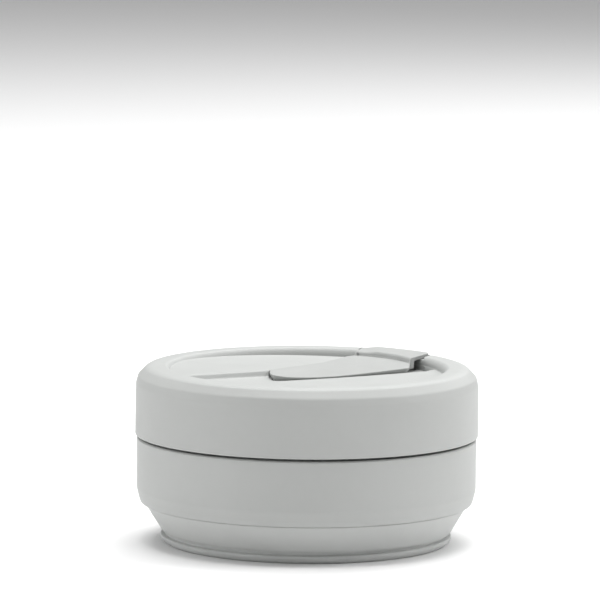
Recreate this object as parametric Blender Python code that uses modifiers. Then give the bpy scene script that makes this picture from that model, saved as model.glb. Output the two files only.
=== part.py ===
"""Collapsible travel cup, folded flat: silicone cup in three nested tiers,
rigid grip sleeve with a threaded neck, screw lid and flip-up drink stopper.

Units are metres, +Z is up. The cup's own axis is the world Z axis and the
underside of the folded cup rests on z = 0. Dimensions below are written in
millimetres and scaled by MM when a shape is made.
"""
import math

import bmesh
import bpy
from mathutils import Matrix, Vector

MM = 0.001

# ---------------------------------------------------------------- dimensions
STEPS = 48                 # facets round every turned piece

# lid
LID_R = 48.55              # outer radius at the lower edge of the skirt
LID_R_TOP = 48.35          # outer radius under the chamfer (moulding draft)
LID_BOTTOM = 30.45         # lower edge of the skirt
LID_TOP = 49.55            # flat rim
RIM_R_OUT = 45.2           # outer edge of the flat rim
RIM_R_IN = 39.4            # inner edge of the flat rim
RECESS_R = 38.4            # recess wall at its foot
RECESS_Z = 47.2            # recess floor
RAMP_Z = 48.7              # crest of the sloping shelf behind the stopper foot
PLATE_UNDER = 45.2         # underside of the lid plate
SKIRT_R_IN = 46.9          # inside of the skirt
RIB_R_IN, RIB_R_OUT = 39.2, 40.4   # rib that reaches into the cup's mouth
RIB_BOTTOM = 42.0

# thread: three starts, one turn lifts the lid by LEAD
LEAD = 14.0
STARTS = 3
NECK_R = 45.0
THREAD_CREST = 46.3
LUG_CREST = 45.5
THREAD_Z0 = 31.7
THREAD_SWEEP = 215.0
LUG_SWEEP = 36.0
LUG_AT = 90.0              # lug centre, degrees after a thread's start

# grip sleeve and neck
SLEEVE_R = 48.0
SLEEVE_TOP = 30.0
SLEEVE_BOTTOM = 11.35
SLEEVE_R_IN = 46.2
NECK_TOP = 41.5
NECK_R_IN = 43.6

# silicone cup, outermost tier
WALL_R = 45.9              # outside of the wall behind the sleeve
NECK_WALL_R = 43.3         # outside of the wall inside the neck
MOUTH_R = 41.2             # inside of the mouth
LIP_R = 44.8
LIP_TOP = 43.2
CONE_R_LOW = 41.0
CONE_Z_LOW = 3.0
CONE_Z_HIGH = 11.4
BEAD_R = 41.2
GROOVE_R = 40.1
FOLD1_R = 37.4             # inside of the tier at its lowest fold

# middle tier, base tier
TIER_TOP = 20.0
MID_R_TOP, MID_R_LOW = 35.8, 34.4
MID_IN_TOP, MID_IN_LOW = 33.6, 31.8
BASE_R_TOP, BASE_R_LOW = 30.2, 28.6
BASE_IN_TOP, BASE_IN_LOW = 28.0, 26.4
FLOOR_T = 2.6

# thin fold webs between the tiers
WEB_LOW, WEB_HIGH = 0.9, 19.7
WEB1 = (36.1, 37.1)
WEB2 = (30.5, 31.5)

# gasket
SEAL_R_IN, SEAL_R_OUT = 40.8, 45.6
SEAL_Z0, SEAL_Z1 = 43.5, 44.9

# stopper
STOP_AZ = 43.0             # direction of the stopper from its foot, degrees
FOOT = (-5.2, -4.2)        # centre of the rounded foot
FOOT_R = 6.2
EDGE_RIGHT_AZ = 26.0
EDGE_LEFT_AZ = 55.7
RIGHT_X = 28.6             # straight right-hand edge
TAB_AZ0, TAB_AZ1 = 38.3, 68.6      # ends of the tab's outer arc
TAB_IN_AZ0, TAB_IN_AZ1 = 28.0, 65.8    # ends of its inner arc
TAB_R_OUT = 44.9
TAB_R_IN = 33.7
TAB_Z0, TAB_Z1 = 49.15, 50.25
FLAP_R = 35.2              # the flap turns up here, into the riser
FLAP_AZ0 = 35.5
RISER_T = 1.5
FLAP_Z0, FLAP_Z1 = 47.1, 48.4
POCKET_Z = 46.8
SCOOP_Z = 46.0             # floor of the finger scoop beside the flap
SCOOP_R = 7.0              # quarter round at the scoop's front corner
SCOOP_X, SCOOP_Y = 28.3, 13.9      # centre of that round
FOOT_Z1 = 48.9             # the foot stands a little prouder than the flap
HINGE_U = 5.0              # hinge line, ahead of the foot's centre
HINGE_GAP = 0.35
PLUG_U = 32.0              # plug centre, ahead of the foot's centre
PLUG_R = 4.6
HOLE_R = 5.1
PLUG_Z = 44.6
PEG_R, PEG_HOLE_R = 2.5, 2.9
BARB_R = 3.7
STEP_AZ = 26.0             # straight front edge of the sloping shelf
STEP_POINT = (-11.9, -3.8)


# ------------------------------------------------------------------- helpers
for old in list(bpy.data.objects):
    bpy.data.objects.remove(old, do_unlink=True)

scene = bpy.context.scene
PARTS = bpy.data.collections.new("collapsible_travel_cup")
CUTTERS = bpy.data.collections.new("cutters")
scene.collection.children.link(PARTS)
scene.collection.children.link(CUTTERS)


def material(name, colour, roughness, metallic=0.0):
    mat = bpy.data.materials.new(name)
    mat.use_nodes = True
    shader = mat.node_tree.nodes["Principled BSDF"]
    shader.inputs["Base Color"].default_value = (*colour, 1.0)
    shader.inputs["Roughness"].default_value = roughness
    shader.inputs["Metallic"].default_value = metallic
    return mat


SILICONE = material("silicone_grey", (0.50, 0.51, 0.50), 0.62)
PLASTIC = material("polypropylene_grey", (0.55, 0.56, 0.55), 0.48)
SEAL_RUBBER = material("seal_silicone_white", (0.72, 0.73, 0.72), 0.55)


def place(obj, mat, cutter=False):
    (CUTTERS if cutter else PARTS).objects.link(obj)
    if cutter:
        obj.hide_render = True
        obj.display_type = "WIRE"
    if mat is not None:
        obj.data.materials.append(mat)
    return obj


def finish_shading(obj):
    obj.data.shade_smooth()
    obj.data.set_sharp_from_angle(angle=math.radians(32))
    return obj


def lathe(name, profile, mat, closed=True, cutter=False):
    """Turned piece. The profile is (radius, height) pairs that run down the
    outer side and, for a ring, back up the inner side."""
    mesh = bpy.data.meshes.new(name)
    verts = [(r * MM, 0.0, z * MM) for r, z in profile]
    edges = [(i, i + 1) for i in range(len(verts) - 1)]
    if closed:
        edges.append((len(verts) - 1, 0))
    mesh.from_pydata(verts, edges, [])
    obj = bpy.data.objects.new(name, mesh)
    place(obj, mat, cutter)
    turn = obj.modifiers.new("turn", "SCREW")
    turn.axis = "Z"
    turn.angle = math.tau
    turn.steps = STEPS
    turn.render_steps = STEPS
    turn.use_merge_vertices = True
    turn.merge_threshold = 0.00005
    turn.use_smooth_shade = False
    return obj


def outline(name, points, z0, z1, mat=None, cutter=False):
    """Flat plate cut to an outline, between two heights."""
    curve = bpy.data.curves.new(name + "_outline", "CURVE")
    curve.dimensions = "2D"
    curve.fill_mode = "BOTH"
    curve.extrude = (z1 - z0) * 0.5 * MM
    line = curve.splines.new("POLY")
    line.points.add(len(points) - 1)
    for point, (x, y) in zip(line.points, points):
        point.co = (x * MM, y * MM, 0.0, 1.0)
    line.use_cyclic_u = True
    guide = bpy.data.objects.new(name + "_guide", curve)
    scene.collection.objects.link(guide)
    guide.location = (0.0, 0.0, (z0 + z1) * 0.5 * MM)
    bpy.context.view_layer.update()
    graph = bpy.context.evaluated_depsgraph_get()
    mesh = bpy.data.meshes.new_from_object(guide.evaluated_get(graph))
    mesh.transform(guide.matrix_world)
    mesh.name = name
    mesh.materials.clear()
    bpy.data.objects.remove(guide, do_unlink=True)
    work = bmesh.new()
    work.from_mesh(mesh)
    bmesh.ops.remove_doubles(work, verts=work.verts[:], dist=0.00002)
    bmesh.ops.recalc_face_normals(work, faces=work.faces[:])
    work.to_mesh(mesh)
    work.free()
    return place(bpy.data.objects.new(name, mesh), mat, cutter)


def cylinder(name, x, y, radius, z0, z1, cutter=True, sides=24, mat=None):
    mesh = bpy.data.meshes.new(name)
    work = bmesh.new()
    bmesh.ops.create_cone(work, cap_ends=True, segments=sides,
                          radius1=radius * MM, radius2=radius * MM,
                          depth=(z1 - z0) * MM)
    bmesh.ops.translate(work, verts=work.verts[:],
                        vec=(x * MM, y * MM, (z0 + z1) * 0.5 * MM))
    work.to_mesh(mesh)
    work.free()
    return place(bpy.data.objects.new(name, mesh), mat, cutter)


def boolean(obj, other, operation):
    mod = obj.modifiers.new(operation.lower() + "_" + other.name, "BOOLEAN")
    mod.operation = operation
    mod.solver = "EXACT"
    mod.object = other
    return mod


def helical_ridge(name, r_root, r_crest, half_root, half_crest, start, sweep,
                  z_start):
    """Thread ridge: a trapezoid section carried along a helix of pitch LEAD,
    its crest run out to nothing at both ends."""
    count = max(4, int(round(sweep / 7.5)))
    work = bmesh.new()
    rings = []
    for i in range(count + 1):
        t = i / count
        ang = math.radians(start + sweep * t)
        z = z_start + LEAD * sweep * t / 360.0
        run = min(1.0, min(t, 1.0 - t) * count / 2.0)
        crest = r_root + (r_crest - r_root) * (0.45 + 0.55 * run)
        section = [(r_root, z - half_root), (crest, z - half_crest),
                   (crest, z + half_crest), (r_root, z + half_root)]
        rings.append([work.verts.new((r * math.cos(ang) * MM,
                                      r * math.sin(ang) * MM, h * MM))
                      for r, h in section])
    for low, high in zip(rings[:-1], rings[1:]):
        for k in range(4):
            work.faces.new((low[k], low[(k + 1) % 4],
                            high[(k + 1) % 4], high[k]))
    work.faces.new(rings[0][::-1])
    work.faces.new(rings[-1])
    bmesh.ops.recalc_face_normals(work, faces=work.faces[:])
    mesh = bpy.data.meshes.new(name)
    work.to_mesh(mesh)
    work.free()
    return place(bpy.data.objects.new(name, mesh), None, cutter=True)


def polar(r, az):
    a = math.radians(az)
    return (r * math.cos(a), r * math.sin(a))


def arc(cx, cy, r, az0, az1, count):
    return [(cx + r * math.cos(math.radians(az0 + (az1 - az0) * i / count)),
             cy + r * math.sin(math.radians(az0 + (az1 - az0) * i / count)))
            for i in range(count + 1)]


def clip(points, origin, normal):
    """Keep the side of a convex or nearly convex outline on which
    (p - origin) . normal >= 0."""
    kept = []
    for (ax, ay), (bx, by) in zip(points, points[1:] + points[:1]):
        da = (ax - origin[0]) * normal[0] + (ay - origin[1]) * normal[1]
        db = (bx - origin[0]) * normal[0] + (by - origin[1]) * normal[1]
        if da >= 0:
            kept.append((ax, ay))
        if (da >= 0) != (db >= 0):
            s = da / (da - db)
            kept.append((ax + (bx - ax) * s, ay + (by - ay) * s))
    return kept


def set_origin(obj, point):
    """Move an object's own origin onto its joint without moving its shape."""
    obj.data.transform(Matrix.Translation(-Vector(point)))
    obj.location = point


# ------------------------------------------------------- silicone cup, tiers
cup_base = lathe("cup_base", [
    (0, FLOOR_T), (BASE_IN_LOW - 1.0, FLOOR_T), (BASE_IN_LOW, FLOOR_T + 1.0),
    (BASE_IN_TOP, TIER_TOP), (BASE_R_TOP, TIER_TOP),
    (BASE_R_LOW, 1.3), (BASE_R_LOW - 0.9, 0.0), (0, 0)],
    SILICONE, closed=False)

fold_web_lower = lathe("fold_web_lower", [
    (WEB2[0], WEB_HIGH), (WEB2[1], WEB_HIGH),
    (WEB2[1], WEB_LOW), (WEB2[0], WEB_LOW)], SILICONE)

cup_middle = lathe("cup_middle", [
    (MID_IN_TOP, TIER_TOP), (MID_R_TOP, TIER_TOP),
    (MID_R_LOW + 0.1, 3.2), (MID_R_LOW + 0.6, 2.4), (MID_R_LOW + 0.6, 1.0),
    (MID_R_LOW + 0.1, 0.6), (MID_IN_LOW + 0.3, 0.6), (MID_IN_LOW, 1.1),
    (MID_IN_LOW, 2.6)], SILICONE)

fold_web_upper = lathe("fold_web_upper", [
    (WEB1[0], WEB_HIGH), (WEB1[1], WEB_HIGH),
    (WEB1[1], WEB_LOW), (WEB1[0], WEB_LOW)], SILICONE)

cup_upper = lathe("cup_upper", [
    (MOUTH_R + 0.4, LIP_TOP), (LIP_R - 0.3, LIP_TOP), (LIP_R, LIP_TOP - 0.3),
    (LIP_R, NECK_TOP + 0.3), (NECK_WALL_R, NECK_TOP + 0.3),
    (NECK_WALL_R, 28.2), (WALL_R, 27.5), (WALL_R, CONE_Z_HIGH),
    (CONE_R_LOW, CONE_Z_LOW), (GROOVE_R, CONE_Z_LOW - 0.15),
    (GROOVE_R, 2.35), (BEAD_R - 0.2, 2.2), (BEAD_R, 1.9), (BEAD_R, 0.8),
    (BEAD_R - 0.7, 0.0), (FOLD1_R + 0.9, 0.0), (FOLD1_R, 0.8),
    (FOLD1_R, 2.4), (FOLD1_R + 1.0, 3.6), (WALL_R - 2.6, 12.4),
    (WALL_R - 2.5, 26.6), (MOUTH_R, 29.0), (MOUTH_R, LIP_TOP - 0.4)],
    SILICONE)

# --------------------------------------------------------------- grip sleeve
sleeve = lathe("grip_sleeve", [
    (NECK_R_IN, NECK_TOP), (NECK_R - 0.3, NECK_TOP), (NECK_R, NECK_TOP - 0.3),
    (NECK_R, SLEEVE_TOP), (SLEEVE_R - 0.15, SLEEVE_TOP),
    (SLEEVE_R, SLEEVE_TOP - 0.2), (SLEEVE_R, 15.2), (SLEEVE_R - 0.45, 13.0),
    (SLEEVE_R - 1.05, 11.7), (SLEEVE_R - 1.4, SLEEVE_BOTTOM),
    (SLEEVE_R_IN, SLEEVE_BOTTOM), (SLEEVE_R_IN, 27.8), (NECK_R_IN, 28.6)],
    PLASTIC)
for k in range(STARTS):
    ridge = helical_ridge("neck_thread_%d" % k, NECK_R - 0.4, THREAD_CREST,
                          0.85, 0.35, 360.0 * k / STARTS, THREAD_SWEEP,
                          THREAD_Z0)
    boolean(sleeve, ridge, "UNION")

# ----------------------------------------------------------------------- lid
lid = lathe("lid_shell", [
    (0, RAMP_Z), (RECESS_R, RAMP_Z), (RIM_R_IN, LID_TOP),
    (43.6, LID_TOP), (RIM_R_OUT, LID_TOP - 0.15), (46.0, 48.95),
    (47.75, 46.95), (LID_R_TOP - 0.15, 45.8), (LID_R_TOP, 44.6),
    (LID_R, 31.1),
    (LID_R - 0.2, LID_BOTTOM), (SKIRT_R_IN, LID_BOTTOM),
    (SKIRT_R_IN, 44.4), (46.1, PLATE_UNDER), (RIB_R_OUT, PLATE_UNDER),
    (RIB_R_OUT, RIB_BOTTOM), (RIB_R_IN, RIB_BOTTOM),
    (RIB_R_IN, PLATE_UNDER), (0, PLATE_UNDER)],
    PLASTIC, closed=False)

# stopper outline in plan, counter-clockwise from the foot
ua = math.radians(STOP_AZ)
U = (math.cos(ua), math.sin(ua))
V = (-math.sin(ua), math.cos(ua))


def along(u, v=0.0):
    return (FOOT[0] + U[0] * u + V[0] * v, FOOT[1] + U[1] * u + V[1] * v)


def stopper_outline(grow):
    foot = arc(FOOT[0], FOOT[1], FOOT_R + grow,
               EDGE_LEFT_AZ + 90.0, EDGE_RIGHT_AZ + 270.0, 10)
    x0, y0 = foot[-1]
    x_right = RIGHT_X + grow
    y_right = y0 + (x_right - x0) * math.tan(math.radians(EDGE_RIGHT_AZ))
    far = arc(0, 0, FLAP_R - 0.1 + grow, FLAP_AZ0 - grow,
              TAB_AZ1 - 0.2 + grow * 0.5, 6)
    return foot + [(x_right, y_right)] + far


step_a = math.radians(STEP_AZ)
step_dir = (math.cos(step_a), math.sin(step_a))
step_nrm = (-step_dir[1], step_dir[0])

# lowered floor ahead of the shelf
disc = arc(0, 0, RECESS_R, 0, 360.0 - 7.5, STEPS - 1)
front = clip(disc, STEP_POINT, (-step_nrm[0], -step_nrm[1]))
boolean(lid, outline("front_floor_cut", front, RECESS_Z, 51.0, cutter=True),
        "DIFFERENCE")

# sloping shelf: a disc clipped by a block tilted about the step's edge
fall = math.atan((RAMP_Z - RECESS_Z) / 34.0)
tilt_cut = cylinder("shelf_cut", 0, 0, RECESS_R, RECESS_Z, 51.0, sides=STEPS)
block = bpy.data.meshes.new("shelf_block")
work = bmesh.new()
bmesh.ops.create_cube(work, size=1.0)
bmesh.ops.scale(work, verts=work.verts[:], vec=(0.16, 0.08, 0.01))
bmesh.ops.translate(work, verts=work.verts[:], vec=(0, 0.04 - 0.0003, 0.005))
work.to_mesh(block)
work.free()
block_obj = place(bpy.data.objects.new("shelf_block", block), None, True)
block_obj.matrix_world = (
    Matrix.Translation((STEP_POINT[0] * MM, STEP_POINT[1] * MM, RAMP_Z * MM))
    @ Matrix.Rotation(step_a, 4, "Z") @ Matrix.Rotation(-fall, 4, "X"))
boolean(tilt_cut, block_obj, "INTERSECT")
boolean(lid, tilt_cut, "DIFFERENCE")

# pocket for the stopper, drink hole, hole for the peg
boolean(lid, outline("stopper_pocket", stopper_outline(0.4), POCKET_Z, 51.0,
                     cutter=True), "DIFFERENCE")
hole_x, hole_y = along(PLUG_U)
boolean(lid, cylinder("drink_hole", hole_x, hole_y, HOLE_R, 44.0, 48.0),
        "DIFFERENCE")
boolean(lid, cylinder("peg_hole", FOOT[0], FOOT[1], PEG_HOLE_R, 44.0, 48.0,
                      sides=16), "DIFFERENCE")

# seat for the pull tab in the rim, and the finger scoop that runs from beside
# the flap to the hollow under the tab
seat = (arc(0, 0, 37.0, TAB_IN_AZ0 + 3.0, TAB_AZ1 + 0.6, 8)
        + arc(0, 0, TAB_R_OUT + 0.4, TAB_AZ1 + 0.6, TAB_AZ0 - 0.8, 7))
boolean(lid, outline("tab_seat", seat, TAB_Z0 - 0.3, 51.0, cutter=True),
        "DIFFERENCE")
scoop = (arc(SCOOP_X, SCOOP_Y, SCOOP_R, -90.0, 0.0, 5)
         + arc(0, 0, RECESS_R - 0.2, 22.5, 67.5, 6)
         + arc(0, 0, FLAP_R + 0.1, 66.0, 38.0, 5))
boolean(lid, outline("finger_scoop", scoop, SCOOP_Z, TAB_Z0, cutter=True),
        "DIFFERENCE")

# thread lugs inside the skirt, midway between the neck's ridges
lug_z = THREAD_Z0 + LEAD * LUG_AT / 360.0 - LEAD / STARTS / 2.0
for k in range(STARTS):
    lug = helical_ridge("lid_lug_%d" % k, SKIRT_R_IN + 0.4, LUG_CREST,
                        0.85, 0.35,
                        360.0 * k / STARTS + LUG_AT - LUG_SWEEP / 2.0,
                        LUG_SWEEP, lug_z - LEAD * LUG_SWEEP / 720.0)
    boolean(lid, lug, "UNION")

lid_seal = lathe("lid_seal", [
    (SEAL_R_IN + 0.3, SEAL_Z1), (SEAL_R_OUT - 0.3, SEAL_Z1),
    (SEAL_R_OUT, SEAL_Z1 - 0.3), (SEAL_R_OUT, SEAL_Z0 + 0.3),
    (SEAL_R_OUT - 0.3, SEAL_Z0), (SEAL_R_IN + 0.3, SEAL_Z0),
    (SEAL_R_IN, SEAL_Z0 + 0.3), (SEAL_R_IN, SEAL_Z1 - 0.3)], SEAL_RUBBER)

# ------------------------------------------------------------------- stopper
plan = stopper_outline(0.0)
hinge = along(HINGE_U)
flap_plan = clip(plan, along(HINGE_U + HINGE_GAP / 2.0), U)
foot_plan = clip(plan, along(HINGE_U - HINGE_GAP / 2.0), (-U[0], -U[1]))

flap = outline("stopper_flap", flap_plan, FLAP_Z0, FLAP_Z1, SILICONE)
riser = (arc(0, 0, TAB_R_IN + 0.05, TAB_IN_AZ0 + 3.5, TAB_IN_AZ1 - 0.4, 8)
         + arc(0, 0, TAB_R_IN + RISER_T - 0.1, TAB_IN_AZ1 - 0.4,
               TAB_IN_AZ0 + 3.5, 8))
boolean(flap, outline("stopper_riser", riser, FLAP_Z0 + 0.2, TAB_Z1 - 0.3,
                      cutter=True), "UNION")
tab = (arc(0, 0, TAB_R_IN, TAB_IN_AZ0, TAB_IN_AZ1, 7)
       + arc(0, 0, TAB_R_OUT, TAB_AZ1, TAB_AZ0, 7))
boolean(flap, outline("stopper_tab", tab, TAB_Z0, TAB_Z1, cutter=True),
        "UNION")
boolean(flap, cylinder("stopper_plug", hole_x, hole_y, PLUG_R, PLUG_Z,
                       FLAP_Z0 + 0.4), "UNION")
set_origin(flap, (hinge[0] * MM, hinge[1] * MM, FLAP_Z1 * MM))
for name in ("stopper_riser", "stopper_tab", "stopper_plug"):
    bpy.data.objects[name].parent = flap
    bpy.data.objects[name].matrix_parent_inverse = \
        Matrix.Translation(-Vector(flap.location))

anchor = outline("stopper_anchor", foot_plan, FLAP_Z0, FOOT_Z1, SILICONE)
# the foot steps down to the flap's own level beside the hinge, so that the
# flap can swing back over it
relief = [along(HINGE_U - 2.6, -12.0), along(HINGE_U + 1.0, -12.0),
          along(HINGE_U + 1.0, 12.0), along(HINGE_U - 2.6, 12.0)]
boolean(anchor, outline("anchor_relief", relief, FLAP_Z1, 51.0, cutter=True),
        "DIFFERENCE")
boolean(anchor, cylinder("anchor_peg", FOOT[0], FOOT[1], PEG_R, 43.4,
                         FLAP_Z0 + 0.4, sides=16), "UNION")
boolean(anchor, cylinder("anchor_barb", FOOT[0], FOOT[1], BARB_R, 43.0, 44.8,
                         sides=16), "UNION")

for piece in PARTS.objects:
    finish_shading(piece)
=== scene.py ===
"""Looks of a collapsible silicone travel cup, folded flat, round its CAD frame."""
import math

import bmesh
import bpy
import numpy as np
from mathutils import Matrix, Vector


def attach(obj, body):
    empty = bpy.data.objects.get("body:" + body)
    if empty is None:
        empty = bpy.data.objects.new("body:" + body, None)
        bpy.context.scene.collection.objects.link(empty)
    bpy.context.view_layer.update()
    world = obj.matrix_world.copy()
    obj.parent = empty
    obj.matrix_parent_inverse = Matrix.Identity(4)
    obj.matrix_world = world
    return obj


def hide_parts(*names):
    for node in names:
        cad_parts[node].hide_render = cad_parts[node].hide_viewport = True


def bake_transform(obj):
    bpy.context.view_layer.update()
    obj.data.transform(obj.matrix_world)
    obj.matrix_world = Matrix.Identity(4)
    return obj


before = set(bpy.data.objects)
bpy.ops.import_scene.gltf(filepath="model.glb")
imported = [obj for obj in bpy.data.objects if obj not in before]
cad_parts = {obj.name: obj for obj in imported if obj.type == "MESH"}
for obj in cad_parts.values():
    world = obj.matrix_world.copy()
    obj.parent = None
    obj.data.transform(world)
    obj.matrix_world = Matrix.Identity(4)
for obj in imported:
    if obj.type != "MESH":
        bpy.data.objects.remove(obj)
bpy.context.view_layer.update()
MM = 0.001
scene = bpy.context.scene
try:
    scene.view_settings.view_transform = "Standard"
    scene.view_settings.look = "None"
except TypeError:
    pass

# --------------------------------------------------------------------- camera
cam_data = bpy.data.cameras.new("camera")
cam = bpy.data.objects.new("camera", cam_data)
scene.collection.objects.link(cam)
cam_data.sensor_width = 36.0
cam_data.lens = 364.56
cam_data.clip_start, cam_data.clip_end = 0.05, 30.0
cam.matrix_world = (Matrix.Translation((-0.002245, -1.700, 0.2839))
                    @ Matrix.Rotation(math.radians(90.0 - 7.22), 4, "X")
                    @ Matrix.Rotation(math.radians(0.53), 4, "Z"))
scene.camera = cam


# ------------------------------------------------------------------ node tools
def new_material(name):
    mat = bpy.data.materials.new(name)
    mat.use_nodes = True
    tree = mat.node_tree
    tree.nodes.clear()
    out = tree.nodes.new("ShaderNodeOutputMaterial")
    shader = tree.nodes.new("ShaderNodeBsdfPrincipled")
    tree.links.new(shader.outputs[0], out.inputs[0])
    return mat, tree, shader


def node(tree, kind, **values):
    n = tree.nodes.new(kind)
    for key, value in values.items():
        if key in n.inputs:
            n.inputs[key].default_value = value
        else:
            setattr(n, key, value)
    return n


def noise(tree, coord, scale, detail=2.0, rough=0.5):
    n = tree.nodes.new("ShaderNodeTexNoise")
    n.inputs["Scale"].default_value = scale
    n.inputs["Detail"].default_value = detail
    n.inputs["Roughness"].default_value = rough
    tree.links.new(coord, n.inputs["Vector"])
    return n.outputs["Fac"]


def ranged(tree, value, low, high, to_low, to_high):
    n = tree.nodes.new("ShaderNodeMapRange")
    n.inputs["From Min"].default_value = low
    n.inputs["From Max"].default_value = high
    n.inputs["To Min"].default_value = to_low
    n.inputs["To Max"].default_value = to_high
    tree.links.new(value, n.inputs["Value"])
    return n.outputs["Result"]


def maths(tree, operation, a, b):
    n = tree.nodes.new("ShaderNodeMath")
    n.operation = operation
    for socket, value in zip(n.inputs, (a, b)):
        if isinstance(value, (int, float)):
            socket.default_value = value
        else:
            tree.links.new(value, socket)
    return n.outputs[0]


def moulded(name, colour, rough, grain_scale, grain_depth, specular, sheen,
            mottling=0.018, subsurface=0.0):
    """Moulded polymer: even colour with the faint cloudiness of filled resin,
    spark-eroded mould grain, a painted highlight that lightens the colour on its
    proud edges, which are also slightly polished (less rough), and a trace of
    lint-dulled roughness."""
    mat, tree, shader = new_material(name)
    coord = tree.nodes.new("ShaderNodeTexCoord").outputs["Object"]
    cloud = noise(tree, coord, 38.0, 3.0, 0.55)
    fine = noise(tree, coord, 420.0, 2.0, 0.5)
    geo = tree.nodes.new("ShaderNodeNewGeometry")
    # convex-edge mask: it lightens the colour there as a painted highlight and lowers the
    # roughness as real polish
    edge_highlight_and_polish = ranged(tree, geo.outputs["Pointiness"], 0.52, 0.58, 0.0, 1.0)
    tone = maths(tree, "ADD",
                 ranged(tree, cloud, 0.3, 0.7, 1.0 - mottling, 1.0 + mottling),
                 ranged(tree, fine, 0.3, 0.7, -mottling * 0.35, mottling * 0.35))
    # painted highlight: colour 3 % lighter on convex edges
    tone = maths(tree, "ADD", tone, maths(tree, "MULTIPLY", edge_highlight_and_polish, 0.03))
    base = tree.nodes.new("ShaderNodeVectorMath")
    base.operation = "SCALE"
    base.inputs[0].default_value = colour
    tree.links.new(tone, base.inputs["Scale"])
    tree.links.new(base.outputs[0], shader.inputs["Base Color"])
    scuff = noise(tree, coord, 95.0, 4.0, 0.6)
    # real polish: convex edges a little less rough
    r = maths(tree, "SUBTRACT",
              ranged(tree, scuff, 0.3, 0.75, rough - 0.05, rough + 0.06),
              maths(tree, "MULTIPLY", edge_highlight_and_polish, 0.05))
    tree.links.new(r, shader.inputs["Roughness"])
    shader.inputs["Specular IOR Level"].default_value = specular
    shader.inputs["Sheen Weight"].default_value = sheen
    shader.inputs["Sheen Roughness"].default_value = 0.6
    if subsurface:
        shader.inputs["Subsurface Weight"].default_value = subsurface
        shader.inputs["Subsurface Radius"].default_value = (1.0, 0.95, 0.85)
        shader.inputs["Subsurface Scale"].default_value = 0.0012
    grain_a = noise(tree, coord, grain_scale, 3.0, 0.6)
    grain_b = noise(tree, coord, grain_scale * 0.27, 2.0, 0.5)
    height = maths(tree, "ADD", maths(tree, "MULTIPLY", grain_a, 0.7),
                   maths(tree, "MULTIPLY", grain_b, 0.3))
    bump = tree.nodes.new("ShaderNodeBump")
    bump.inputs["Strength"].default_value = 0.5
    bump.inputs["Distance"].default_value = grain_depth
    tree.links.new(height, bump.inputs["Height"])
    tree.links.new(bump.outputs[0], shader.inputs["Normal"])
    return mat


SILICONE = moulded("cup_silicone", (0.515, 0.525, 0.515), 0.60, 3800.0,
                   0.000035, 0.35, 0.10, 0.016, 0.04)
STOPPER = moulded("stopper_silicone", (0.385, 0.394, 0.385), 0.58, 3600.0,
                  0.00003, 0.35, 0.08, 0.012, 0.04)
PLASTIC = moulded("lid_polypropylene", (0.462, 0.472, 0.462), 0.50, 3000.0,
                  0.00003, 0.28, 0.0, 0.014)
SLEEVE_MAT = moulded("sleeve_polypropylene", (0.462, 0.472, 0.462), 0.52,
                     3000.0, 0.00003, 0.40, 0.0, 0.014)
SEAL_MAT = moulded("seal_silicone", (0.62, 0.63, 0.62), 0.45, 5200.0, 0.00002,
                   0.45, 0.0, 0.010, 0.15)


# ------------------------------------------------------------------ mesh tools
def make_object(name, verts, faces, mat, body=None, smooth=True):
    mesh = bpy.data.meshes.new(name)
    mesh.from_pydata([tuple(v) for v in verts], [], faces)
    mesh.validate()
    work = bmesh.new()
    work.from_mesh(mesh)
    bmesh.ops.recalc_face_normals(work, faces=work.faces[:])
    work.to_mesh(mesh)
    work.free()
    if smooth:
        mesh.shade_smooth()
    obj = bpy.data.objects.new(name, mesh)
    scene.collection.objects.link(obj)
    mesh.materials.append(mat)
    if body:
        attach(obj, body)
    return obj


def rounded(points, closed=True, step=9.0):
    """A turned profile in mm. Each point is (radius, height) or
    (radius, height, fillet); fillets become arcs, and long straight runs get
    a guard point near each end so that shading stays flat there."""
    pts = [(p[0], p[1], p[2] if len(p) > 2 else 0.0) for p in points]
    n = len(pts)
    out = []
    for i, (r, z, f) in enumerate(pts):
        if f <= 0 or (not closed and i in (0, n - 1)):
            out.append((r, z))
            continue
        a = np.array(pts[i - 1][:2]) - (r, z)
        b = np.array(pts[(i + 1) % n][:2]) - (r, z)
        la, lb = np.linalg.norm(a), np.linalg.norm(b)
        a, b = a / la, b / lb
        turn = math.acos(max(-1.0, min(1.0, float(a @ b))))
        if turn > math.pi - 0.02:
            out.append((r, z))
            continue
        cut = min(f / math.tan(turn / 2.0), la * 0.49, lb * 0.49)
        f = cut * math.tan(turn / 2.0)
        mid = (a + b) / np.linalg.norm(a + b)
        centre = np.array((r, z)) + mid * (f / math.sin(turn / 2.0))
        p0 = np.array((r, z)) + a * cut - centre
        p1 = np.array((r, z)) + b * cut - centre
        sweep = math.pi - turn
        count = max(3, int(math.ceil(math.degrees(sweep) / step)))
        for k in range(count + 1):
            t = k / count
            v = (p0 * math.sin((1 - t) * sweep) + p1 * math.sin(t * sweep)) \
                / math.sin(sweep)
            out.append(tuple(centre + v))
    guarded = []
    m = len(out)
    for i in range(m if closed else m - 1):
        p, q = np.array(out[i]), np.array(out[(i + 1) % m])
        guarded.append(tuple(p))
        run = np.linalg.norm(q - p)
        if run > 0.8:
            g = 0.12
            inner = max(1, int(run // 4.0))
            stops = [g / run] + [k / (inner + 1) for k in range(1, inner + 1)] \
                + [1 - g / run]
            for s in stops:
                guarded.append(tuple(p + (q - p) * s))
    if not closed:
        guarded.append(out[-1])
    return guarded


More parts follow.
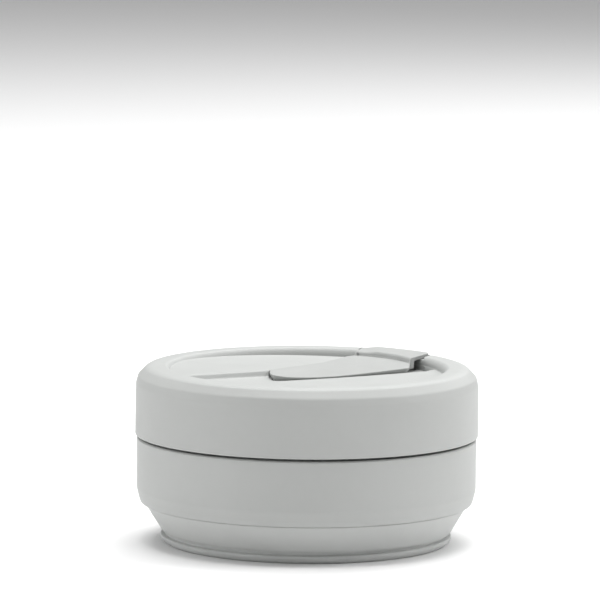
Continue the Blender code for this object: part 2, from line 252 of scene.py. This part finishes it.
def revolve(name, profile, mat, body, segments=256, closed=True, shape=None):
    """Turns a profile about Z. shape(x, y, z, row) may move points (mm)."""
    ang = np.linspace(0, 2 * math.pi, segments, endpoint=False) + 0.0013
    ca, sa = np.cos(ang), np.sin(ang)
    verts, rows = [], []
    total = 0
    for r, z in profile:
        if r < 1e-6:
            verts.append(np.array([[0.0, 0.0, z]]))
            rows.append((total, 1))
            total += 1
        else:
            verts.append(np.stack([r * ca, r * sa, np.full(segments, z)], 1))
            rows.append((total, segments))
            total += segments
    verts = np.concatenate(verts)
    if shape is not None:
        verts = shape(verts)
    faces = []
    pairs = list(zip(rows[:-1], rows[1:]))
    if closed:
        pairs.append((rows[-1], rows[0]))
    nxt = [(k + 1) % segments for k in range(segments)]
    for (a, na), (b, nb) in pairs:
        if na == 1 and nb == 1:
            continue
        if na == 1:
            faces += [(a, b + k, b + nxt[k]) for k in range(segments)]
        elif nb == 1:
            faces += [(a + k, b, a + nxt[k]) for k in range(segments)]
        else:
            faces += [(a + k, b + k, b + nxt[k], a + nxt[k])
                      for k in range(segments)]
    return make_object(name, verts * MM, faces, mat, body)


def smooth01(t):
    t = np.clip(t, 0.0, 1.0)
    return t * t * (3.0 - 2.0 * t)


# ------------------------------------------------- silicone cup, three tiers
cup_base = revolve("cup_base_soft", rounded([
    (0, 2.6), (25.4, 2.6, 1.2), (28.0, 19.9, 0.5), (30.1, 20.0, 0.7),
    (28.6, 1.3, 0.4), (27.8, 0.0, 0.9), (23.2, 0.0, 0.2), (22.6, 0.45, 0.3),
    (0, 0.45)], closed=False), SILICONE, "base_tier", 192, closed=False)
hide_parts("cup_base")

cup_middle = revolve("cup_middle_soft", rounded([
    (33.7, 20.0, 0.7), (35.8, 20.0, 0.8), (34.5, 3.3, 0.3), (35.0, 2.8, 0.5),
    (35.0, 0.6, 0.8), (31.9, 0.6, 0.7), (31.8, 2.6, 0.3)]),
    SILICONE, "middle_tier", 192)
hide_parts("cup_middle")

def lean_groove(v):
    """The fold above the foot ring stands a little open on one side."""
    r = np.hypot(v[:, 0], v[:, 1])
    side = 0.5 + 0.5 * np.cos(np.arctan2(v[:, 1], v[:, 0]) - math.radians(205))
    part = smooth01((r - 39.0) / 0.6) * smooth01((v[:, 2] - 2.45) / 0.5) \
        * smooth01((9.0 - v[:, 2]) / 6.0)
    v[:, 2] += 0.55 * side * part
    return v


cup_upper = revolve("cup_upper_soft", rounded([
    (41.2, 43.2, 0.8), (44.8, 43.2, 0.8), (44.8, 41.8, 0.3), (43.3, 41.8),
    (43.3, 28.2), (45.9, 27.5), (45.9, 11.9), (45.35, 11.35, 0.15),
    (45.55, 10.75, 0.3), (41.05, 3.15, 0.35), (40.35, 3.0, 0.2),
    (40.3, 2.78, 0.1), (40.0, 2.7, 0.1), (39.9, 2.3, 0.12),
    (41.1, 2.12, 0.4), (41.15, 1.35, 0.5), (40.75, 0.6, 0.5),
    (40.0, 0.0, 0.4),
    (38.3, 0.0, 0.6), (37.4, 0.8, 0.4), (37.4, 2.4, 0.3), (38.4, 3.9, 0.6),
    (43.3, 12.4, 1.5), (43.4, 26.6, 1.2), (41.2, 29.0, 1.2)]),
    SILICONE, "upper_tier", 320, shape=lean_groove)
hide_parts("cup_upper")


def fold_web(name, node_name, r_low, r_high, anchor_low, anchor_high):
    """Thin web between two tiers: a wall about 1 mm thick that
    starts in the outer tier's lower fold and ends over the inner tier's top."""
    half = 0.42
    # centre line from the outer tier's fold up to the inner tier's top edge
    centre = [(anchor_low, 1.3), (r_low + 0.35, 0.95), (r_low, 1.7)]
    for k in range(1, 24):
        t = k / 24.0
        centre.append((r_low + (r_high - r_low) * t, 1.7 + 17.2 * t))
    centre += [(r_high, 18.9), (r_high - 0.15, 19.7), (r_high - 0.6, 20.05),
               (anchor_high, 19.7)]
    c = np.array(centre)
    tang = np.gradient(c, axis=0)
    tang /= np.linalg.norm(tang, axis=1)[:, None]
    nrm = np.stack([tang[:, 1], -tang[:, 0]], 1)
    outer, inner = c + nrm * half, c - nrm * half
    ring = [tuple(p) for p in outer[::-1]] + [tuple(p) for p in inner]
    web = revolve(name, ring, SILICONE, None, 192)
    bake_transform(web)
    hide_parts(node_name)
    return web


fold_web("fold_web_upper_soft", "fold_web_upper", 36.85, 36.45, 38.2, 35.2)
fold_web("fold_web_lower_soft", "fold_web_lower", 31.25, 30.85, 32.6, 29.6)

# ---------------------------------------------------------------- grip sleeve
sleeve = revolve("grip_sleeve_fine", rounded([
    (43.6, 41.5, 0.3), (45.0, 41.5, 0.35), (45.0, 29.7, 0.3),
    (47.65, 29.7, 0.2), (48.0, 29.35, 0.2), (48.0, 15.3, 2.4),
    (47.35, 12.6, 2.0), (46.95, 11.35, 0.22), (46.2, 11.35, 0.2),
    (46.2, 27.8), (43.6, 28.6)]), SLEEVE_MAT, "upper_tier", 384)
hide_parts("grip_sleeve")

LEAD, STARTS = 14.0, 3


def thread(name, r_root, r_crest, start, sweep, z_start, mat, body):
    """Moulded thread ridge with rounded flanks, faded out at both ends."""
    count = max(24, int(sweep / 2.2))
    rows, out = 13, []
    for i in range(count + 1):
        t = i / count
        ang = math.radians(start + sweep * t)
        z0 = z_start + LEAD * sweep * t / 360.0
        fade = float(smooth01(min(t, 1 - t) * sweep / 9.0))
        loop = []
        for k in range(rows):
            s = -1.0 + 2.0 * k / (rows - 1)
            h = float(smooth01((1.0 - abs(s)) / 0.55))
            r = r_root + (r_crest - r_root) * (0.05 + 0.95 * h * fade)
            loop.append((r * math.cos(ang), r * math.sin(ang), z0 + 0.85 * s))
        back = r_root - math.copysign(0.3, r_crest - r_root)
        loop.append((back * math.cos(ang), back * math.sin(ang), z0 + 0.85))
        loop.append((back * math.cos(ang), back * math.sin(ang), z0 - 0.85))
        out.append(loop)
    m = rows + 2
    verts = np.array([p for loop in out for p in loop]) * MM
    faces = [(i * m + k, i * m + (k + 1) % m, (i + 1) * m + (k + 1) % m,
              (i + 1) * m + k) for i in range(count) for k in range(m)]
    faces.append(tuple(range(m))[::-1])
    faces.append(tuple(count * m + k for k in range(m)))
    piece = make_object(name, verts, faces, mat, body)
    return piece


for k in range(STARTS):
    thread("neck_thread_%d" % k, 44.95, 46.25, 120.0 * k, 215.0, 31.7,
           SLEEVE_MAT, "upper_tier")

# ------------------------------------------------------------------- the lid
RECESS_Z, RIM_Z = 47.2, 49.76
FOOT = np.array([-5.2, -4.2])             # centre of the stopper's peg
AXIS_AZ = 43.0                            # direction of the stopper strap
UA = np.array([math.cos(math.radians(AXIS_AZ)), math.sin(math.radians(AXIS_AZ))])
HOLE = FOOT + UA * 32.0
TAB_OUT = 44.9


def polar(r, az):
    return (r * math.cos(math.radians(az)), r * math.sin(math.radians(az)))


def spline(points, per=14):
    """Closed centripetal Catmull-Rom curve through plan points."""
    pts = [np.array(p[:2], float) for p in points]
    n = len(pts)
    out = []
    for i in range(n):
        p0, p1, p2, p3 = (pts[(i - 1) % n], pts[i], pts[(i + 1) % n],
                          pts[(i + 2) % n])
        t0 = 0.0
        t1 = t0 + max(1e-6, np.linalg.norm(p1 - p0)) ** 0.5
        t2 = t1 + max(1e-6, np.linalg.norm(p2 - p1)) ** 0.5
        t3 = t2 + max(1e-6, np.linalg.norm(p3 - p2)) ** 0.5
        for k in range(per):
            t = t1 + (t2 - t1) * k / per
            a1 = (t1 - t) / (t1 - t0) * p0 + (t - t0) / (t1 - t0) * p1
            a2 = (t2 - t) / (t2 - t1) * p1 + (t - t1) / (t2 - t1) * p2
            a3 = (t3 - t) / (t3 - t2) * p2 + (t - t2) / (t3 - t2) * p3
            b1 = (t2 - t) / (t2 - t0) * a1 + (t - t0) / (t2 - t0) * a2
            b2 = (t3 - t) / (t3 - t1) * a2 + (t - t1) / (t3 - t1) * a3
            out.append((t2 - t) / (t2 - t1) * b1 + (t - t1) / (t2 - t1) * b2)
    return np.array(out)


def resample(curve, count):
    closed = np.vstack([curve, curve[:1]])
    seg = np.linalg.norm(np.diff(closed, axis=0), axis=1)
    s = np.concatenate([[0], np.cumsum(seg)])
    want = np.linspace(0, s[-1], count, endpoint=False)
    return np.stack([np.interp(want, s, closed[:, 0]),
                     np.interp(want, s, closed[:, 1])], 1)


def turn(cx, cy, r, az0, az1, count):
    return [(cx + polar(r, a)[0], cy + polar(r, a)[1])
            for a in np.linspace(az0, az1, count)]


def bowed(a, b, bow, count):
    """Points of a shallow bow from a to b that bulges to its right."""
    a, b = np.array(a, float), np.array(b, float)
    d = b - a
    n = np.array([d[1], -d[0]]) / np.linalg.norm(d)
    return [tuple(a + d * t + n * bow * 4 * t * (1 - t))
            for t in np.linspace(0, 1, count)]


# plan of the stopper's upper edge, anticlockwise from its heel: a tight round
# at the heel, a slightly bowed front flank, the pull tab and a straight back
CONTROL = (
    turn(-8.1, -11.0, 1.6, 185, 290, 5)
    + bowed((-6.0, -12.0), (27.0, 5.9), 0.9, 10)
    + turn(27.4, 8.0, 1.6, -45, 0, 3)
    + bowed((29.05, 10.5), (29.2, 14.4), 0.0, 3)
    + bowed(polar(34.1, 28.6), polar(43.6, 37.3), 0.0, 9)
    + turn(0, 0, TAB_OUT, 39.6, 67.2, 12)
    + [polar(44.3, 68.3)]
    + bowed(polar(43.0, 68.5), polar(35.6, 66.8), 0.0, 6)
    + bowed((11.9, 31.6), (-9.0, 1.0), 0.0, 9)
    + bowed((-10.4, -1.6), (-10.3, -8.6), 0.25, 4))
OUTLINE = resample(spline(CONTROL), 560)


def outline_normals(curve):
    d = np.roll(curve, -1, 0) - np.roll(curve, 1, 0)
    d /= np.linalg.norm(d, axis=1)[:, None]
    return np.stack([d[:, 1], -d[:, 0]], 1)


NORMALS = outline_normals(OUTLINE)


def signed_distance(x, y, curve):
    """Distance to a closed outline, negative inside, for arrays of points."""
    best = np.full(x.shape, 1e9)
    inside = np.zeros(x.shape, bool)
    nx_, ny_ = np.roll(curve[:, 0], -1), np.roll(curve[:, 1], -1)
    for ax, ay, bx, by in zip(curve[:, 0], curve[:, 1], nx_, ny_):
        dx, dy = bx - ax, by - ay
        t = np.clip(((x - ax) * dx + (y - ay) * dy) / (dx * dx + dy * dy), 0, 1)
        best = np.minimum(best, (x - ax - t * dx) ** 2 + (y - ay - t * dy) ** 2)
        if ay != by:
            cross = ((ay > y) != (by > y)) & (
                x < (bx - ax) * (y - ay) / (by - ay) + ax)
            inside ^= cross
    best = np.sqrt(best)
    return np.where(inside, -best, best)


def soft_max(a, b, k):
    h = np.clip(0.5 + 0.5 * (a - b) / k, 0.0, 1.0)
    return b + (a - b) * h + k * h * (1.0 - h)


# straight front edge of the raised shelf behind the stopper's heel
SHELF_AZ = 26.2
SD = np.array([math.cos(math.radians(SHELF_AZ)), math.sin(math.radians(SHELF_AZ))])
SN = np.array([SD[1], -SD[0]])            # towards the front
SHELF_AT = np.array([-17.5, -6.4])
DRAIN = np.array([math.cos(math.radians(52)), math.sin(math.radians(52))])


def shelf_height(x, y):
    """The shelf falls gently towards the drink hole."""
    u = x * DRAIN[0] + y * DRAIN[1]
    return np.clip(48.48 - 0.030 * u, RECESS_Z, 48.72)


# finger scoop: a quarter round beside the strap, then the hollow under the tab
SCOOP = resample(np.array(
    turn(28.3, 13.9, 7.0, -90, -15, 12) + turn(0, 0, 38.48, 20.0, 67.0, 30)
    + turn(0, 0, 35.0, 66.0, 38.0, 16) + [(28.0, 20.0)]), 240)


def lid_surface(v):
    """Shapes the turned lid's top: sloping shelf and stopper bed.
    v is in mm."""
    r = np.hypot(v[:, 0], v[:, 1])
    top = (v[:, 2] > RECESS_Z - 0.4) & (r < 45.75)
    x, y, z = v[top, 0], v[top, 1], v[top, 2].copy()
    rr = r[top]
    sd = signed_distance(x, y, OUTLINE)
    # shelf with a soft, steep front edge
    ahead = (x - SHELF_AT[0]) * SN[0] + (y - SHELF_AT[1]) * SN[1]
    gate = 1.0 - smooth01((ahead + 0.55) / 1.1)
    shelf = RECESS_Z + (shelf_height(x, y) - RECESS_Z) * gate
    z = np.where(rr < 41.0, soft_max(z, shelf, 0.22), z)
    # bed under the stopper, a little wider than it
    bed = smooth01((0.30 - sd) / 0.25)
    z = np.where((rr < 37.9) & (z > 46.75), z - (z - 46.75) * bed, z)
    v[top, 2] = z
    return v


top_rows = [(r, RECESS_Z) for r in np.linspace(0.0, 38.1, 191)]
wall = [(38.3, RECESS_Z), (38.45, 47.25), (38.56, 47.38)]
for k in range(0, 19):
    t = math.radians(5.0 * k)
    wall.append((40.3 - 1.7 * math.cos(t), 47.65 + (RIM_Z - 47.65) * math.sin(t)))
crown = [(r, RIM_Z) for r in (40.6, 41.0, 41.4, 41.8, 42.2, 42.6, 42.9)]
for k in range(1, 9):
    t = math.radians(4.5 * k)
    crown.append((42.9 + 3.9 * math.sin(t), RIM_Z - 3.9 * (1 - math.cos(t)) * 0.45))
skirt = rounded([
    crown[-1], (45.80, 49.10, 1.3), (47.80, 47.02, 1.6),
    (48.36, 44.9, 3.0), (48.5, 31.2, 1.5), (48.55, 30.45, 0.35),
    (46.9, 30.45, 0.25), (46.9, 44.4, 0.6), (46.1, 45.2, 0.5),
    (40.4, 45.2, 0.3), (40.4, 42.0, 0.3), (39.2, 42.0, 0.3), (39.2, 45.2, 0.4),
    (0.0, 45.2)], closed=False, step=6.0)
fine = []
for (r0, z0), (r1, z1) in zip(crown[:-1], crown[1:]):
    fine.append((r0, z0))
    extra = int((r1 - r0) / 0.2)
    fine += [(r0 + (r1 - r0) * k / (extra + 1), z0 + (z1 - z0) * k / (extra + 1))
             for k in range(1, extra + 1)]
lid = revolve("lid_shell_fine", top_rows + wall + fine + skirt, PLASTIC, None,
              760, closed=False, shape=lid_surface)

# drink hole, peg hole, the seat of the pull tab in the rim, and the scoop


def prism(name, points, z0, z1):
    """Closed block on a plan outline, between two heights (mm)."""
    work = bmesh.new()
    low_ring = [work.verts.new((x * MM, y * MM, z0 * MM)) for x, y in points]
    high_ring = [work.verts.new((x * MM, y * MM, z1 * MM)) for x, y in points]
    work.faces.new(low_ring[::-1])
    work.faces.new(high_ring)
    for k in range(len(points)):
        m = (k + 1) % len(points)
        work.faces.new((low_ring[k], low_ring[m], high_ring[m], high_ring[k]))
    bmesh.ops.recalc_face_normals(work, faces=work.faces[:])
    mesh = bpy.data.meshes.new(name)
    work.to_mesh(mesh)
    work.free()
    block = bpy.data.objects.new(name, mesh)
    scene.collection.objects.link(block)
    return block


# the seat is a little wider than the tab, and wider still at its right end
end_az = np.degrees(np.arctan2(OUTLINE[:, 1], OUTLINE[:, 0]))
spare = 0.22 + 0.95 * (1.0 - smooth01((end_az - 38.2) / 2.4))
wide = OUTLINE + NORMALS * spare[:, None]
seat_plan = [tuple(p) for p in wide if np.hypot(p[0], p[1]) > 36.9]
first = max(range(len(seat_plan)), key=lambda k: math.dist(seat_plan[k], seat_plan[k - 1]))
seat_plan = seat_plan[first:] + seat_plan[:first]
az_a = math.degrees(math.atan2(seat_plan[-1][1], seat_plan[-1][0]))
az_b = math.degrees(math.atan2(seat_plan[0][1], seat_plan[0][0]))
seat_plan += turn(0, 0, 36.6, az_a, az_b, 12)
cutters = [
    prism("cut_drink_hole", turn(HOLE[0], HOLE[1], 5.1, 0, 355, 72), 42.0, 50.0),
    prism("cut_peg_hole", turn(FOOT[0], FOOT[1], 2.9, 0, 352.5, 48), 42.0, 50.0),
    prism("cut_tab_seat", seat_plan, 48.9, 52.0),
    prism("cut_scoop", [tuple(p) for p in SCOOP], 46.0, 48.95)]
for block in cutters:
    cut = lid.modifiers.new(block.name, "BOOLEAN")
    cut.operation, cut.solver, cut.object = "DIFFERENCE", "EXACT", block
bpy.context.view_layer.update()
graph = bpy.context.evaluated_depsgraph_get()
cut_mesh = bpy.data.meshes.new_from_object(lid.evaluated_get(graph))
lid.modifiers.clear()
lid.data = cut_mesh
cut_mesh.shade_smooth()
cut_mesh.set_sharp_from_angle(angle=math.radians(55))
for block in cutters:
    bpy.data.objects.remove(block, do_unlink=True)
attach(lid, "lid")
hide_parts("lid_shell")

for k in range(STARTS):
    thread("lid_lug_%d" % k, 46.95, 45.55, 120.0 * k + 72.0, 36.0,
           31.7 + LEAD * 90.0 / 360.0 - LEAD / STARTS / 2.0
           - LEAD * 36.0 / 720.0, PLASTIC, "lid")

seal = revolve("lid_seal_fine", rounded([
    (40.8, 44.9, 0.4), (45.6, 44.9, 0.4), (45.6, 43.5, 0.4), (44.0, 43.5, 0.2),
    (43.6, 43.75, 0.2), (42.6, 43.75, 0.2), (42.2, 43.5, 0.2),
    (40.8, 43.5, 0.4)]), SEAL_MAT, "seal", 192)
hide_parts("lid_seal")

# --------------------------------------------------------------- the stopper
FLAP_LOW, TAB_LOW = 46.95, 49.0
HEEL = np.array([-9.0, -12.6])
FLANK = np.array([math.cos(math.radians(28.5)), math.sin(math.radians(28.5))])


def riser_foot(az):
    """Radius of the riser's inner face, slightly further out to the left."""
    return 32.8 + 0.0585 * (az - 30.4)


def stopper_top(x, y):
    """Height of the strap's upper face: thick heel, thin strap, riser rounded
    onto the pull tab over the rim."""
    r = np.hypot(x, y)
    az = np.degrees(np.arctan2(y, x))
    s = (x - HEEL[0]) * FLANK[0] + (y - HEEL[1]) * FLANK[1]
    flap = 47.60 + 1.22 * np.exp(-np.clip(s, 0, None) / 6.2) \
        + 0.019 * (np.sqrt((s - 17.0) ** 2 + 16.0) + (s - 17.0))
    # the side towards the shelf stays just proud of it
    back = (y - 1.0) * math.cos(math.radians(55.7)) \
        - (x + 9.0) * math.sin(math.radians(55.7))
    proud = shelf_height(x, y) + 0.10
    lift = smooth01((back + 7.0) / 6.5) * np.maximum(proud - flap, 0.0)
    flap = flap + lift
    tab = 50.24 - 0.5 * smooth01((20.9 - x) / 4.5)
    tab = tab - 0.12 * smooth01((r - 42.0) / 3.0)
    q = np.clip((r - riser_foot(az)) / 1.0, 0.0, 1.0)
    h = np.sqrt(np.clip(1.0 - (1.0 - q) ** 2, 0.0, 1.0)) ** 0.85
    return flap + (np.maximum(tab - flap, 0.0)) * h * (az > 20)


def stopper_low(x, y):
    r = np.hypot(x, y)
    az = np.degrees(np.arctan2(y, x))
    return FLAP_LOW + (TAB_LOW - FLAP_LOW) \
        * smooth01((r - riser_foot(az) - 2.35) / 0.3) * (az > 20)


def build_stopper():
    core = np.array([12.0, 12.0])
    ease = 0.24
    count = len(OUTLINE)
    rings = []
    inset = OUTLINE - NORMALS * ease
    levels = np.concatenate([np.linspace(0.02, 0.52, 40),
                             np.linspace(0.524, 1.0, 130)])
    for s in levels:
        p = core + (inset - core) * s
        rings.append(np.column_stack([p, stopper_top(p[:, 0], p[:, 1])]))
    edge_z = stopper_top(inset[:, 0], inset[:, 1])
    for a in (15, 30, 45, 60, 75, 90):
        t = math.radians(a)
        p = OUTLINE - NORMALS * ease * (1 - math.sin(t))
        rings.append(np.column_stack([p, edge_z - ease * (1 - math.cos(t))]))
    z_low = stopper_low(OUTLINE[:, 0], OUTLINE[:, 1])
    tall = np.clip((edge_z - ease - z_low - 0.3) / 1.0, 0.0, 1.0)
    rad = np.hypot(OUTLINE[:, 0], OUTLINE[:, 1])
    under = np.where(rad < 33.5, 0.25 + 0.40 * tall, 0.12)
    for t in (0.2, 0.4, 0.6, 0.8, 1.0):
        z = (edge_z - ease) * (1 - t) + (z_low + 0.15) * t
        p = OUTLINE - NORMALS * (under * t ** 1.3)[:, None]
        rings.append(np.column_stack([p, z]))
    p = OUTLINE - NORMALS * (under + 0.06)[:, None]
    rings.append(np.column_stack([p, z_low + 0.05]))
    low_in = OUTLINE - NORMALS * (under + 0.2)[:, None]
    rings.append(np.column_stack([low_in, z_low]))
    for s in np.concatenate([np.linspace(1.0, 0.5, 90)[1:],
                             np.linspace(0.48, 0.02, 16)]):
        p = core + (low_in - core) * s
        rings.append(np.column_stack([p, stopper_low(p[:, 0], p[:, 1])]))
    verts = [np.array([[core[0], core[1], float(stopper_top(core[0], core[1]))]])]
    verts += rings
    verts.append(np.array([[core[0], core[1], FLAP_LOW]]))
    verts = np.concatenate(verts)
    faces = []
    nxt = [(k + 1) % count for k in range(count)]
    faces += [(0, 1 + k, 1 + nxt[k]) for k in range(count)]
    for i in range(len(rings) - 1):
        a, b = 1 + i * count, 1 + (i + 1) * count
        faces += [(a + k, b + k, b + nxt[k], a + nxt[k]) for k in range(count)]
    last = 1 + (len(rings) - 1) * count
    end = last + count
    faces += [(last + k, end, last + nxt[k]) for k in range(count)]
    return make_object("stopper_soft", verts * MM, faces, STOPPER)


stopper = build_stopper()
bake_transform(stopper)
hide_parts("stopper_flap", "stopper_anchor")


def turned_at(name, profile, centre, mat, body, segments=96):
    piece = revolve(name, profile, mat, None, segments, closed=False)
    for vert in piece.data.vertices:
        vert.co.x += centre[0] * MM
        vert.co.y += centre[1] * MM
    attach(piece, body)
    return piece


plug = turned_at("stopper_plug_soft", rounded([
    (0, 47.4), (4.9, 47.4), (4.9, 46.6, 0.3), (4.65, 46.2, 0.3),
    (4.9, 45.6, 0.4), (4.5, 44.7, 0.6), (3.2, 44.6, 0.3), (3.0, 45.4, 0.3),
    (0, 45.4)], closed=False), HOLE, STOPPER, "stopper")
peg = turned_at("stopper_peg_soft", rounded([
    (0, 47.4), (2.6, 47.4), (2.6, 45.0, 0.2), (3.7, 44.9, 0.3),
    (3.4, 43.7, 0.4), (2.2, 43.0, 0.5), (0, 43.0)], closed=False),
    FOOT, STOPPER, "lid")

# ------------------------------------------------------------ floor and light
floor_mesh = bpy.data.meshes.new("studio_floor")
floor_mesh.from_pydata([(-6, -6, 0), (6, -6, 0), (6, 6, 0), (-6, 6, 0)], [],
                       [(0, 1, 2, 3)])
floor = bpy.data.objects.new("studio_floor", floor_mesh)
scene.collection.objects.link(floor)
floor.location.z = -0.00002
floor_mat, ftree, fshader = new_material("studio_floor")
fshader.inputs["Base Color"].default_value = (0.90, 0.90, 0.90, 1)
fshader.inputs["Roughness"].default_value = 0.8
fshader.inputs["Specular IOR Level"].default_value = 0.2
floor_mesh.materials.append(floor_mat)

world = bpy.data.worlds.new("studio")
scene.world = world
world.use_nodes = True
wt = world.node_tree
wt.nodes.clear()
wout = wt.nodes.new("ShaderNodeOutputWorld")
bg = wt.nodes.new("ShaderNodeBackground")
bg.inputs["Color"].default_value = (1, 1, 1, 1)
wcoord = wt.nodes.new("ShaderNodeTexCoord")
sep = wt.nodes.new("ShaderNodeSeparateXYZ")
wt.links.new(wcoord.outputs["Generated"], sep.inputs[0])


def wmath(operation, a, b, clamp=False):
    n = wt.nodes.new("ShaderNodeMath")
    n.operation = operation
    n.use_clamp = clamp
    for socket, value in zip(n.inputs, (a, b)):
        if isinstance(value, (int, float)):
            socket.default_value = value
        else:
            wt.links.new(value, socket)
    return n.outputs[0]


def lobe(direction, power, gain):
    """Soft glow of the studio round one direction."""
    d = Vector(direction).normalized()
    dot = None
    for socket, part in zip(sep.outputs, d):
        term = wmath("MULTIPLY", socket, part)
        dot = term if dot is None else wmath("ADD", dot, term)
    return wmath("MULTIPLY", wmath("POWER", wmath("MAXIMUM", dot, 0.0), power), gain)


# white cards: a wide one behind the camera, a brighter one on the left
light = wmath("ADD", lobe((0, -1, 0.15), 2, 0.39), lobe((-1, 0, 0.2), 3, 1.35))
light = wmath("ADD", light, lobe((1, 0.1, 0.15), 3, 0.22))
path = wt.nodes.new("ShaderNodeLightPath")
mix = wt.nodes.new("ShaderNodeMix")
mix.data_type = "FLOAT"
wt.links.new(path.outputs["Is Camera Ray"], mix.inputs[0])
wt.links.new(light, mix.inputs[2])
mix.inputs[3].default_value = 1.05
wt.links.new(mix.outputs[0], bg.inputs["Strength"])
wt.links.new(bg.outputs[0], wout.inputs[0])


def area(name, location, target, size, power):
    data = bpy.data.lights.new(name, "AREA")
    data.shape = "RECTANGLE"
    data.size, data.size_y = size
    data.energy = power
    lamp = bpy.data.objects.new(name, data)
    scene.collection.objects.link(lamp)
    lamp.location = location
    lamp.rotation_mode = "QUATERNION"
    lamp.rotation_quaternion = (Vector(target) - Vector(location)) \
        .to_track_quat("-Z", "Y")
    return lamp


area("top_softbox", (0.05, 0.38, 1.4), (0, 0, 0.03), (1.3, 1.3), 24.5)
area("front_top_card", (0.0, -0.22, 1.3), (0, -0.1, 0.0), (0.5, 0.3), 3.5)
area("right_softbox", (1.1, 0.0, 0.75), (0, 0, 0.03), (0.5, 0.6), 6.3)
area("back_softbox", (0.6, 1.0, 0.8), (0, 0, 0.03), (1.2, 1.0), 5.0)
